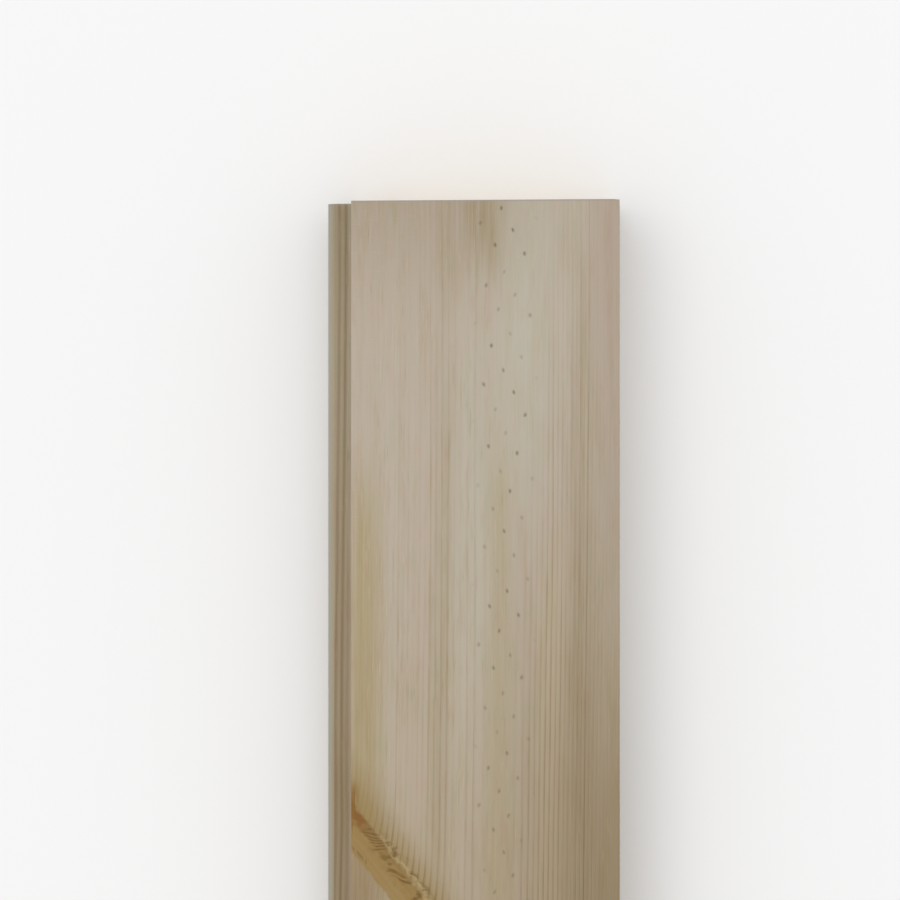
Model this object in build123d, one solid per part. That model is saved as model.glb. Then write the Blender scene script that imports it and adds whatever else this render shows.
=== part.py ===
from build123d import *
import os

# Pine floorboard: one planed length of solid timber with a tongue on one edge and a groove on the other.
# It lies face up. X runs across the board from tongue to groove, Y along it, Z up from the underside.
# The origin is the middle of the underside's box, so half of the overall width lies on each side of it.

# Driving dimensions, in millimetres

LENGTH = 1800.0
FACE_WIDTH = 110.0  # what one laid board covers, shoulder to lip
THICKNESS = 45.0

TONGUE_LENGTH = 10.0
TONGUE_THICKNESS = 13.0
TONGUE_DEPTH_BELOW_FACE = 18.25  # face to the tongue's upper side
TONGUE_BEVEL_RUN = 2.6  # lead-in bevel on the tongue's upper corner, across
TONGUE_BEVEL_DROP = 2.0  # the same bevel, downwards
TONGUE_NOSE_RADIUS = 1.0  # lower corner of the tongue
TONGUE_BEVEL_ROUND = 0.8  # softening where the bevel meets the tongue's flats

CHEEK_CLEARANCE = 0.25  # between tongue and groove, on each side
TIP_CLEARANCE = 2.0  # between the tongue's end and the bottom of the groove

SHOULDER_SETBACK = 0.75  # lower shoulder behind the upper one, so laid faces close first
LIP_SETBACK = 1.0  # lower lip behind the upper one, for the same reason

FACE_ARRIS_RADIUS = 0.8  # long edges of the face
BACK_ARRIS_RADIUS = 1.2  # long edges of the underside
LIP_ARRIS_RADIUS = 0.5  # mouth of the groove
GROOVE_ROOT_RADIUS = 0.8  # bottom corners of the groove

END_OUT_OF_SQUARE = 0.8  # how far the sawn +Y end falls back across the overall width, at the tongue

# Places that follow from the dimensions

OVERALL_WIDTH = FACE_WIDTH + TONGUE_LENGTH
TONGUE_TIP_X = -OVERALL_WIDTH / 2
UPPER_SHOULDER_X = TONGUE_TIP_X + TONGUE_LENGTH
LOWER_SHOULDER_X = UPPER_SHOULDER_X + SHOULDER_SETBACK
UPPER_LIP_X = OVERALL_WIDTH / 2
LOWER_LIP_X = UPPER_LIP_X - LIP_SETBACK
GROOVE_BOTTOM_X = UPPER_LIP_X - TONGUE_LENGTH - TIP_CLEARANCE

TONGUE_TOP_Z = THICKNESS - TONGUE_DEPTH_BELOW_FACE
TONGUE_BOTTOM_Z = TONGUE_TOP_Z - TONGUE_THICKNESS
GROOVE_TOP_Z = TONGUE_TOP_Z + CHEEK_CLEARANCE
GROOVE_BOTTOM_Z = TONGUE_BOTTOM_Z - CHEEK_CLEARANCE

SHARP = 0.0  # radius of a corner that the cutters leave sharp


def board_section() -> Sketch:
    """The moulded cross-section, drawn in X and Z as seen from the -Y end, anticlockwise from the back."""
    corners = [
        ((LOWER_SHOULDER_X, 0), BACK_ARRIS_RADIUS),
        ((LOWER_LIP_X, 0), BACK_ARRIS_RADIUS),
        ((LOWER_LIP_X, GROOVE_BOTTOM_Z), LIP_ARRIS_RADIUS),
        ((GROOVE_BOTTOM_X, GROOVE_BOTTOM_Z), GROOVE_ROOT_RADIUS),
        ((GROOVE_BOTTOM_X, GROOVE_TOP_Z), GROOVE_ROOT_RADIUS),
        ((UPPER_LIP_X, GROOVE_TOP_Z), LIP_ARRIS_RADIUS),
        ((UPPER_LIP_X, THICKNESS), FACE_ARRIS_RADIUS),
        ((UPPER_SHOULDER_X, THICKNESS), FACE_ARRIS_RADIUS),
        ((UPPER_SHOULDER_X, TONGUE_TOP_Z), SHARP),
        ((TONGUE_TIP_X + TONGUE_BEVEL_RUN, TONGUE_TOP_Z), TONGUE_BEVEL_ROUND),
        ((TONGUE_TIP_X, TONGUE_TOP_Z - TONGUE_BEVEL_DROP), TONGUE_BEVEL_ROUND),
        ((TONGUE_TIP_X, TONGUE_BOTTOM_Z), TONGUE_NOSE_RADIUS),
        ((LOWER_SHOULDER_X, TONGUE_BOTTOM_Z), SHARP),
    ]
    points = [point for point, radius in corners]
    radii = [radius for point, radius in corners]
    return make_face(FilletPolyline(*points, radius=radii, close=True))


def sawn_off_end() -> Part:
    """The thin wedge that the saw takes off the +Y end, thickest at the tongue and nothing at the upper lip."""
    wedge = Polyline(
        (UPPER_LIP_X, LENGTH / 2),
        (TONGUE_TIP_X, LENGTH / 2),
        (TONGUE_TIP_X, LENGTH / 2 - END_OUT_OF_SQUARE),
        close=True,
    )
    return extrude(make_face(wedge), THICKNESS)


def floorboard() -> Part:
    """The whole board: its section run along Y, with the +Y end sawn slightly out of square."""
    seen_from_end = Plane(origin=(0, -LENGTH / 2, 0), x_dir=(1, 0, 0), z_dir=(0, -1, 0))
    blank = extrude(seen_from_end * board_section(), -LENGTH)
    return blank - sawn_off_end()


os.makedirs("parts", exist_ok=True)
export_step(floorboard(), "parts/floorboard.step")
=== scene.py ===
"""Looks of a pine floorboard: one planed board with its grain, knots and sawn ends, on a pale floor.

The board is one piece of timber, so its colour is a solid pattern that runs through it: growth rings about
the pith of the stem, branches that were sawn through, needle traces beside the pith, and stains along the
grain. The same growth shapes the fine relief of its mesh. Sizes are in millimetres until they meet Blender.
"""

import logging
import math
from dataclasses import dataclass
from enum import Enum
from typing import Any, Callable, Mapping, Optional, Sequence, Union

import bpy
import numpy as np
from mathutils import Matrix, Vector
from mathutils.geometry import delaunay_2d_cdt


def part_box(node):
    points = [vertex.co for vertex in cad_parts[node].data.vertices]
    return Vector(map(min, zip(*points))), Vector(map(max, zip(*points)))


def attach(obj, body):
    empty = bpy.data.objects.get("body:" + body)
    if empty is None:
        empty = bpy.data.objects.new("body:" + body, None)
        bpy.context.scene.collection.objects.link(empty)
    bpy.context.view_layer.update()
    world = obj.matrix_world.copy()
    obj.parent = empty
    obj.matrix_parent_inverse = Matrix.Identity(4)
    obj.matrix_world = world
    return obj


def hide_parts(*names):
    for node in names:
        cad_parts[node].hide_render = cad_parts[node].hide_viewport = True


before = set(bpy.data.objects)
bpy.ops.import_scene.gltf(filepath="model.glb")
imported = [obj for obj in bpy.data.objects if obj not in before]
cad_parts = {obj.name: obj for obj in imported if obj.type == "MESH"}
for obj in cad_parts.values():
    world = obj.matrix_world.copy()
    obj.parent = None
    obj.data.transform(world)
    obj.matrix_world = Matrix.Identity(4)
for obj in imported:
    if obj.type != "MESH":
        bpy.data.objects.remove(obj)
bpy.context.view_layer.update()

logging.basicConfig(level=logging.INFO, format="%(message)s")
log = logging.getLogger("floorboard")

MM = 0.001
BOARD_NODE = "floorboard"
END_FACES = "end_grain"
END_POINTS = "end_points"
EDGE_POINTS = "edge_points"
BAKE_MAP = "OFBake"
KEEP_INSIDE = 1
SAME_POINT = 1e-5

Number = Union["Field", float]
Colour = tuple[float, float, float]


def srgb(red: int, green: int, blue: int) -> Colour:
    """Turns a colour as a screen shows it into linear light.

    Args:
        red: How much red it has, from 0 to 255.
        green: How much green.
        blue: How much blue.

    Returns:
        The colour's three levels, from 0 to 1.
    """
    def linear(level: int) -> float:
        """Turns one level into linear light."""
        share = level / 255
        return share / 12.92 if share <= 0.04045 else ((share + 0.055) / 1.055) ** 2.4
    return (linear(red), linear(green), linear(blue))


def joining(operation: str, reflected: bool = False) -> Callable[["Field", Number], "Field"]:
    """Makes an operator that joins a field with another field or a number.

    Args:
        operation: The sum's name, such as ADD.
        reflected: Whether the other value comes first.

    Returns:
        The operator, as a method.
    """
    def method(self: "Field", other: Number) -> "Field":
        """Adds the node that works the sum out."""
        pair = (other, self) if reflected else (self, other)
        return self.graph.combine(operation, *pair)
    return method


class Field:
    """A number, vector or colour that changes over a surface: one socket that sums can be written on."""

    def __init__(self, graph: "Graph", socket: bpy.types.NodeSocket) -> None:
        """Holds an output socket of a node in a graph."""
        self.graph = graph
        self.socket = socket

    @property
    def is_vector(self) -> bool:
        """Whether sums on this go through Vector Math."""
        return self.socket.type == "VECTOR"

    def __abs__(self) -> "Field":
        """Drops the sign."""
        return self.graph.math("ABSOLUTE", self)

    __add__ = joining("ADD")
    __radd__ = joining("ADD", reflected=True)
    __sub__ = joining("SUBTRACT")
    __rsub__ = joining("SUBTRACT", reflected=True)
    __mul__ = joining("MULTIPLY")
    __rmul__ = joining("MULTIPLY", reflected=True)
    __truediv__ = joining("DIVIDE")
    __rtruediv__ = joining("DIVIDE", reflected=True)
    __pow__ = joining("POWER")


class Graph:
    """A node tree that is being written, in a material or in a geometry modifier."""

    def __init__(self, tree: bpy.types.NodeTree) -> None:
        """Starts on a tree, which keeps the nodes it has."""
        self.tree = tree

    def node(
        self,
        kind: str,
        settings: Optional[Mapping[str, Any]] = None,
        sockets: Optional[Mapping[Union[str, int], Any]] = None,
    ) -> bpy.types.Node:
        """Adds one node.

        Args:
            kind: Blender's name for the node's type.
            settings: The node's own settings, which are set first.
            sockets: Values or fields for its inputs, by name or number.

        Returns:
            The new node.
        """
        made = self.tree.nodes.new(kind)
        for name, value in (settings or {}).items():
            setattr(made, name, value)
        for name, value in (sockets or {}).items():
            self.feed(made.inputs[name], value)
        return made

    def feed(self, socket: bpy.types.NodeSocket, value: Any) -> None:
        """Links a field to an input, or sets a plain value or a named tint on it.

        Args:
            socket: The input.
            value: What it gets.
        """
        if isinstance(value, Field):
            self.tree.links.new(value.socket, socket)
            return
        plain = value.value if isinstance(value, Enum) else value
        socket.default_value = (*plain, 1.0) if socket.type == "RGBA" else plain

    def field(self, node: bpy.types.Node, output: Union[str, int] = 0) -> Field:
        """Wraps one output of a node."""
        return Field(self, node.outputs[output])

    def math(self, operation: str, *values: Number) -> Field:
        """Adds a Math node on numbers."""
        return self.field(self.node("ShaderNodeMath", {"operation": operation}, dict(enumerate(values))))

    def vector_math(self, operation: str, sockets: Mapping[Any, Any], output: str = "Vector") -> Field:
        """Adds a Vector Math node."""
        return self.field(self.node("ShaderNodeVectorMath", {"operation": operation}, sockets), output)

    def combine(self, operation: str, left: Number, right: Number) -> Field:
        """Joins two values by the kind of node that suits them.

        Args:
            operation: The sum's name, such as ADD.
            left: The first value.
            right: The second value.

        Returns:
            The result, a vector where either of them is one.
        """
        vectors = [isinstance(value, Field) and value.is_vector for value in (left, right)]
        if not any(vectors):
            return self.math(operation, left, right)
        if all(vectors) or operation != "MULTIPLY":
            return self.vector_math(operation, {0: left, 1: right})
        vector, number = (left, right) if vectors[0] else (right, left)
        return self.vector_math("SCALE", {0: vector, "Scale": number})

    def vector(self, x: Number, y: Number, z: Number) -> Field:
        """Joins three numbers into a vector."""
        return self.field(self.node("ShaderNodeCombineXYZ", {}, {0: x, 1: y, 2: z}))

    def parts(self, vector: Field) -> tuple[Field, Field, Field]:
        """Splits a vector into its three numbers."""
        split = self.node("ShaderNodeSeparateXYZ", {}, {0: vector})
        return self.field(split, 0), self.field(split, 1), self.field(split, 2)

    def dot(self, vector: Field, other: Any) -> Field:
        """The dot product of two vectors."""
        return self.vector_math("DOT_PRODUCT", {0: vector, 1: other}, "Value")

    def length(self, vector: Field) -> Field:
        """The length of a vector."""
        return self.vector_math("LENGTH", {0: vector}, "Value")

    def fade(self, value: Number, start: float, stop: float, least: float = 0.0) -> Field:
        """Goes smoothly from least at start to 1 at stop, which may be the lower of the two."""
        limits = {"Value": value, "From Min": start, "From Max": stop, "To Min": least}
        return self.field(self.node("ShaderNodeMapRange", {"interpolation_type": "SMOOTHSTEP"}, limits))

    def band(self, value: Field, middle: Number, half_width: Number) -> Field:
        """A soft bell that is 1 at the middle and fades out over the half width on each side."""
        return self.fade(abs(value - middle) / half_width, 1.0, 0.0)

    def larger(self, left: Number, right: Number) -> Field:
        """The larger of two values."""
        return self.math("MAXIMUM", left, right)

    def smaller(self, left: Number, right: Number) -> Field:
        """The smaller of two values."""
        return self.math("MINIMUM", left, right)

    def noise(self, place: Field, detail: float = 2.0, roughness: float = 0.5) -> Field:
        """Soft noise about zero, mostly within one half, with features of about one unit of place.

        Args:
            place: Where it is read.
            detail: How many finer layers it has.
            roughness: How strong each finer layer is.

        Returns:
            The noise there.
        """
        settings = {"noise_dimensions": "3D", "normalize": True}
        sockets = {"Vector": place, "Scale": 1.0, "Detail": detail, "Roughness": roughness}
        return (self.field(self.node("ShaderNodeTexNoise", settings, sockets), "Fac") - 0.5) * 2.0

    def chance(self, number: Field) -> Field:
        """A fixed random number from 0 to 1 for each whole number."""
        made = self.node("ShaderNodeTexWhiteNoise", {"noise_dimensions": "1D"}, {"W": number})
        return self.field(made, "Value")

    def mix(self, share: Number, first: Any, second: Any, blend: str = "MIX") -> Field:
        """Mixes two colours.

        Args:
            share: How much of the second colour shows.
            first: The colour underneath.
            second: The colour on top.
            blend: How they meet, such as MIX or MULTIPLY.

        Returns:
            The mixed colour.
        """
        settings = {"data_type": "RGBA", "blend_type": blend, "clamp_factor": True}
        made = self.node("ShaderNodeMix", settings, {0: share, 6: first, 7: second})
        return self.field(made, 2)


@dataclass(frozen=True)
class Grain:
    """Noise drawn out along the board: its marks' width and length, and how fine and how rough they are."""

    width: float
    length: float
    detail: float = 2.0
    roughness: float = 0.5
    shift: float = 0.0

    def at(self, graph: Graph, place: Field) -> Field:
        """The noise at a place in the timber.

        Args:
            graph: The tree that takes the nodes.
            place: The place, in millimetres.

        Returns:
            The noise there, about zero.
        """
        across, along, up = graph.parts(place)
        sideways = across / self.width + self.shift
        drawn_out = graph.vector(sideways, along / self.length, up / self.width)
        return graph.noise(drawn_out, self.detail, self.roughness)


@dataclass(frozen=True)
class Ramp:
    """A smooth change between two places, in millimetres, and the share that it starts from."""

    start: float
    stop: float
    least: float = 0.0

    def at(self, graph: Graph, place: Field) -> Field:
        """The share at a place: least at the start and 1 at the stop."""
        return graph.fade(place, self.start, self.stop, self.least)


@dataclass(frozen=True)
class Branch:
    """A branch that the board was sawn through, which shows as a knot."""

    height: float
    bearing: float
    rise: float
    base_radius: float
    taper: float
    drop: float = 0.0
    push: float = 0.8
    rim: float = 1.0
    ribs: float = 0.0
    heart_from: float = 300.0

    def axis(self) -> Vector:
        """The way it grows: bearing turns about the pith from straight down, and rise is up the stem.

        Returns:
            A vector of length 1.
        """
        turn = math.radians(self.bearing)
        slope = math.radians(self.rise)
        out = math.cos(slope)
        return Vector((math.sin(turn) * out, math.sin(slope), -math.cos(turn) * out))

    def crotch(self) -> Vector:
        """The side of the branch that faces up the stem, square to its axis."""
        axis = self.axis()
        return (Vector((0.0, 1.0, 0.0)) - axis * axis.y).normalized()

    def comb(
        self,
        graph: Graph,
        place: Field,
        reach: Field,
        side: Field,
        crest: Field,
        slow: Field,
    ) -> tuple[Field, ...]:
        """The crowded grain where the planer cut along the upper edge of a steep branch.

        Args:
            graph: The tree that takes the nodes.
            place: The place in the timber.
            reach: The distance out along the branch.
            side: The distance up the stem from the branch's middle.
            crest: The distance up the stem from the branch's upper edge, in radii of the branch.
            slow: Slow noise.

        Returns:
            The dark ribs, the pale seam between them and the dark heart at the branch's far end.
        """
        to_heart = self.heart_from - reach
        lean = graph.noise(place * 0.11, detail=0.0)
        level = graph.larger(reach + side * (lean * 0.5 + 0.95), 0.0)
        torn = graph.noise(graph.vector(level / 3.2 + lean, side / 4.2, 4.0), detail=1.5)
        turns = (level / 10.0) ** 3.5 * 0.006 + slow * 0.35 + torn * 0.1
        teeth = graph.fade(graph.math("SINE", graph.math("FRACT", turns) * math.pi), 0.2, 1.0)
        fine = graph.fade(to_heart, 16.0, 11.0)
        close = graph.fade(crest + torn * 0.25, -0.85, -0.5) * graph.fade(crest, 0.02, -0.1)
        below = graph.fade(crest + torn * 0.5, -1.05, -0.45) * graph.fade(crest, 0.03, -0.12)
        above = graph.fade(crest, 0.04, 0.2) * graph.fade(crest + torn * 0.3, 0.9, 0.3)
        above = above * graph.fade(to_heart, 2.0, 14.0)
        blots = graph.fade(torn, -0.15, 0.24) * (below * (1.0 - fine) + above)
        ribs = teeth * close * fine * graph.fade(to_heart, -1.0, 3.0)
        shade = graph.fade(crest + slow * 0.4, -0.95, -0.35) * graph.fade(crest, 0.04, -0.1)
        shade = shade * graph.fade(to_heart, 34.0, 6.0, 0.35)
        ribs = graph.larger(graph.larger(ribs, blots), shade * 0.45)
        seam = graph.band(crest + torn * 0.5, 0.04, 0.16) * graph.fade(torn, 0.1, -0.25)
        seam = seam * graph.fade(to_heart, 0.0, 14.0)
        tip = graph.fade(to_heart - slow * 5.0, 4.0, -3.0)
        return ribs, seam, tip * graph.fade(crest, -0.85, -0.45)


@dataclass(frozen=True)
class DarkRing:
    """A ring of hard dark wood, by its even radius and how strongly it shows."""

    radius: float
    strength: float


@dataclass(frozen=True)
class GrowthZone:
    """A run of years with rings of like width, counted outwards from the pith."""

    outer_radius: float
    ring_width: float


@dataclass(frozen=True)
class StrongYears:
    """A run of years whose rings end in dark wood: its middle year, its half length and how dark it is."""

    middle: float
    spell: float
    share: float


@dataclass
class Growth:
    """What grew at a place in the timber, each part a field."""

    latewood: Field
    ring_lines: Field
    dark_rings: Field
    radius: Field
    bearing: Field
    knot: Field
    knot_rim: Field
    knot_halo: Field
    knot_years: Field
    knot_ribs: Field
    knot_seam: Field
    knot_heart: Field


@dataclass(frozen=True)
class Stem:
    """The tree that the board came from: where its pith ran, how its rings lay and what branches it had."""

    pith_across: float = 11.0
    pith_up: float = 57.0
    wander: float = 2.2
    wander_length: float = 1150.0
    top_end: float = 900.0
    eccentricity: float = 0.14
    early_growth: float = 0.25
    young: Ramp = Ramp(62.0, 30.0)
    strong_years: tuple[StrongYears, ...] = (
        StrongYears(6.5, 2.8, 0.5),
        StrongYears(12.0, 4.5, 1.1),
        StrongYears(19.0, 3.0, 0.55),
    )
    weak_year: float = 0.45
    wobble: Grain = Grain(55.0, 420.0)
    wobble_depth: float = 0.9
    wave: Grain = Grain(7.0, 110.0, 1.0)
    wave_depth: float = 0.45
    zones: tuple[GrowthZone, ...] = (
        GrowthZone(48.0, 1.95),
        GrowthZone(57.0, 1.45),
        GrowthZone(200.0, 3.0),
    )
    dark_rings: tuple[DarkRing, ...] = (DarkRing(62.6, 0.3), DarkRing(64.6, 1.0), DarkRing(66.6, 0.8))
    dark_ring_width: float = 0.85
    dark_side: Ramp = Ramp(-18.0, -45.0)
    branches: tuple[Branch, ...] = (
        Branch(
            height=564, bearing=-88, rise=52.5, base_radius=4.6, taper=0.0175, drop=10,
            push=-0.5, rim=0.2, ribs=1.0, heart_from=97,
        ),
        Branch(height=548, bearing=38, rise=42, base_radius=1.5, taper=0.10),
        Branch(height=118, bearing=84, rise=50, base_radius=3.0, taper=0.05, drop=7),
        Branch(height=112, bearing=-42, rise=44, base_radius=1.5, taper=0.12),
        Branch(height=-338, bearing=-63, rise=46, base_radius=1.5, taper=0.11),
        Branch(height=-345, bearing=33, rise=40, base_radius=1.5, taper=0.13),
        Branch(height=-762, bearing=12, rise=38, base_radius=1.2, taper=0.10),
        Branch(height=-770, bearing=-85, rise=50, base_radius=3.0, taper=0.05, drop=8),
    )

    def pith_at(self, graph: Graph, along: Field) -> Field:
        """How far across the board the pith lies, at a place along it."""
        turn = (self.top_end - along) * (2 * math.pi / self.wander_length)
        return graph.math("COSINE", turn) * self.wander + self.pith_across

    def grow(self, graph: Graph, place: Field) -> Growth:
        """Works out what grew where.

        Args:
            graph: The tree that takes the nodes.
            place: The place in the timber, in millimetres.

        Returns:
            The rings and knots at that place.
        """
        bent = place
        knot: Number = 0.0
        rim: Number = 0.0
        halo: Number = 0.0
        knot_years: Number = 0.0
        ribs: Number = 0.0
        seam: Number = 0.0
        heart: Number = 0.0
        rough = graph.noise(place * 0.16, detail=3.0, roughness=0.6)
        for branch in self.branches:
            axis = branch.axis()
            start = (self.pith_across, branch.height, self.pith_up - branch.drop)
            from_start = place - fixed(graph, start)
            reach = graph.dot(from_start, axis)
            aside = from_start - fixed(graph, axis) * reach
            distance = graph.larger(graph.length(aside), 0.01)
            radius = graph.larger(reach, 0.0) * branch.taper + branch.base_radius
            outward = distance / radius + rough * 0.25
            alive = graph.fade(reach, 0.0, 8.0)
            push = graph.math("EXPONENT", (distance - radius) / (radius * -0.8 - 1.5))
            push = graph.smaller(push, 1.0) * radius * alive / distance
            bent = bent - aside * (push * branch.push)
            side = graph.dot(aside, branch.crotch())
            upper = graph.fade(side / distance, -0.5, 0.9)
            inside = graph.fade(outward, 1.08, 0.86) * alive
            knot = graph.larger(knot, inside)
            edge = graph.band(outward, 0.96, 0.26) * (upper * 0.8 + 0.2) * alive
            rim = graph.larger(rim, edge * branch.rim)
            halo = graph.larger(halo, graph.fade(outward, 3.6, 0.9) * (upper * 0.75 + 0.25) * alive)
            knot_years = knot_years + distance * inside
            if branch.ribs > 0:
                slow = graph.noise(place * 0.2, detail=1.0)
                crest = side / radius - 1.0 + slow * 0.5 + rough * 0.2
                comb = branch.comb(graph, place, reach, side, crest, slow)
                near = graph.fade(outward, 2.1, 1.6) * alive * branch.ribs
                ribs = ribs + comb[0] * near
                seam = seam + comb[1] * near
                heart = heart + comb[2] * inside
        across, along, up = graph.parts(bent)
        wobble = self.wobble.at(graph, bent) * self.wobble_depth
        wobble = wobble + self.wave.at(graph, bent) * self.wave_depth
        aside = across - self.pith_at(graph, along)
        below = self.pith_up - up
        radius = graph.math("SQRT", aside * aside + below * below)
        fast = self.young.at(graph, radius) * self.early_growth
        uneven = (below * fast - aside * self.eccentricity) / graph.larger(radius, 0.5)
        even = (radius + wobble) / (1.0 + uneven)
        years: Number = 0.0
        inner = 0.0
        for zone in self.zones:
            grown = graph.smaller(graph.larger(even - inner, 0.0), zone.outer_radius - inner)
            years = years + grown / zone.ring_width
            inner = zone.outer_radius
        season = graph.math("FRACT", years)
        year = graph.math("FLOOR", years)
        strong: Number = self.weak_year
        for run in self.strong_years:
            strong = graph.band(year, run.middle, run.spell) * run.share + strong
        vigour = (graph.chance(year) * 0.4 + 0.28) * strong
        lines = graph.fade(season, 0.45, 0.88) * graph.fade(season, 1.0, 0.9)
        dark: Number = 0.0
        for ring in self.dark_rings:
            dark = dark + graph.band(even, ring.radius, self.dark_ring_width) * ring.strength
        dark = dark * self.dark_side.at(graph, aside)
        bearing = graph.math("ARCTAN2", aside, below)
        rings = (lines * vigour, lines, dark, radius, bearing)
        return Growth(*rings, knot, rim, halo, knot_years, ribs, seam, heart)


def fixed(graph: Graph, values: Sequence[float]) -> Field:
    """A fixed vector as a field."""
    return graph.vector(*[float(value) for value in values])


@dataclass(frozen=True)
class NeedleTraces:
    """Traces of the needles that the young shoot bore, set round its pith on a spiral."""

    step_along: float = 1.2
    first_along: float = 3.9
    first_bearing: float = -7.8
    divergence: float = 137.508
    half_width: float = 0.8
    half_length: float = 1.3
    shows_outward: Ramp = Ramp(19.0, 13.5)
    shows_along: Ramp = Ramp(340.0, 60.0, 0.6)

    def mark(self, graph: Graph, growth: Growth, from_end: Field) -> Field:
        """Where the traces show.

        Args:
            graph: The tree that takes the nodes.
            growth: The rings at the place.
            from_end: The distance from the sawn end.

        Returns:
            A mask that is 1 in the middle of a trace.
        """
        short, long = 8, 13
        short_rounds, long_rounds = 3, 5
        short_turn = math.radians(short * self.divergence - short_rounds * 360)
        long_turn = math.radians(long * self.divergence - long_rounds * 360)
        short_step = short * self.step_along
        long_step = long * self.step_along
        area = short_turn * long_step - long_turn * short_step
        turn = growth.bearing - math.radians(self.first_bearing)
        along = from_end - self.first_along
        first = (turn * long_step - along * long_turn) / area
        second = (along * short_turn - turn * short_step) / area
        first_whole = graph.math("ROUND", first)
        second_whole = graph.math("ROUND", second)
        luck = graph.chance(first_whole * 7.31 + second_whole * 3.17)
        other_luck = graph.chance(first_whole * 2.73 + second_whole * 5.91)
        first_off = first - first_whole
        second_off = second - second_whole
        aside = (first_off * short_turn + second_off * long_turn) * growth.radius
        ahead = first_off * short_step + second_off * long_step
        aside = aside + (luck - 0.5)
        ahead = ahead + (other_luck - 0.5) * 1.6
        slant = aside + ahead * (luck - 0.5) * 0.6
        spread = graph.vector(slant / self.half_width, ahead / self.half_length, 0.0)
        spot = graph.fade(graph.length(spread), 1.15, 0.0)
        strength = graph.fade(other_luck, 0.0, 0.6, 0.4) * self.shows_along.at(graph, from_end)
        return spot * strength * self.shows_outward.at(graph, growth.radius)


class Tint(Enum):
    """The colours of planed pine, as a screen shows them in plain light, and the casts that darken them."""

    PINKISH = srgb(184, 170, 154)
    GREENISH = srgb(186, 180, 164)
    GREY_GREEN = srgb(160, 152, 136)
    OLIVE = srgb(160, 144, 112)
    OLIVE_STREAK = srgb(158, 146, 112)
    OLIVE_VEIN = srgb(168, 156, 120)
    TAN = srgb(160, 143, 117)
    YELLOW = srgb(168, 152, 112)
    YELLOW_EDGE = srgb(168, 156, 116)
    BROWN = srgb(145, 128, 100)
    BROWN_SHADOW = srgb(148, 126, 94)
    ROSE = srgb(172, 155, 140)
    ROSY_VEIN = srgb(190, 168, 150)
    PALE_STRIP = srgb(196, 181, 158)
    PALE_FIBRE = srgb(214, 204, 188)
    PALE_DASH = srgb(206, 192, 166)
    PALE_CHATTER = srgb(206, 194, 176)
    AGED_CAST = srgb(236, 230, 210)
    HANDLED_CAST = srgb(236, 234, 228)
    GREEN_CAST = srgb(245, 255, 250)
    PINK_CAST = srgb(255, 246, 250)
    YELLOW_CAST = srgb(243, 237, 218)
    LATEWOOD_CAST = srgb(200, 186, 160)
    COMBED_CAST = srgb(196, 187, 156)
    END_RING_CAST = srgb(196, 178, 150)
    TORN_CAST = srgb(195, 178, 138)
    # Partly the darker machined wood and partly painted shade of the tongue, which lies below the face
    MOULDED_AND_SHADE_CAST = srgb(229, 223, 205)
    DARK_RING_CAST = srgb(140, 116, 80)
    # The end grain's colour, painted lighter to make up for the weaker light on the upright sawn ends
    END_GRAIN_PAINTED_LIGHTER = srgb(217, 199, 168)
    END_ROSE = srgb(214, 187, 157)
    TEAR = srgb(128, 102, 78)
    KNOT_CORE = srgb(150, 121, 66)
    KNOT_YEARS = srgb(132, 104, 58)
    KNOT_SEAM = srgb(186, 164, 120)
    KNOT_DARK = srgb(127, 80, 20)
    RESIN = srgb(147, 123, 72)
    RESIN_STREAK = srgb(130, 92, 34)
    RESIN_LINE = srgb(98, 72, 32)
    NEEDLE = srgb(84, 72, 52)
    BEVEL = srgb(160, 160, 150)
    # Painted shade of the sawn end's top arris, with some dirt of its broken edge
    SAWN_EDGE_SHADE_AND_DIRT = srgb(158, 150, 146)


@dataclass(frozen=True)
class Stain:
    """A tint along the grain of the face, in millimetres across the board and from its sawn end."""

    across: float
    half_width: float
    start: float
    stop: float
    ease: float
    tint: Tint
    strength: float
    streaks: float = 0.5
    lean: float = 0.0


@dataclass(frozen=True)
class QuietStrip:
    """A strip along the board where the rings show less."""

    across: float
    half_width: float
    share: float


@dataclass(frozen=True)
class Spot:
    """A place on the board while its colour is worked out: where it is and what lies there, as fields."""

    graph: Graph
    place: Field
    across: Field
    along: Field
    up: Field
    from_end: Field
    end: Field
    growth: Growth
    fibre: Field
    streak: Field
    vein: Field
    cloud: Field
    tone: Field
    dash: Field
    speck: Field


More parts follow.
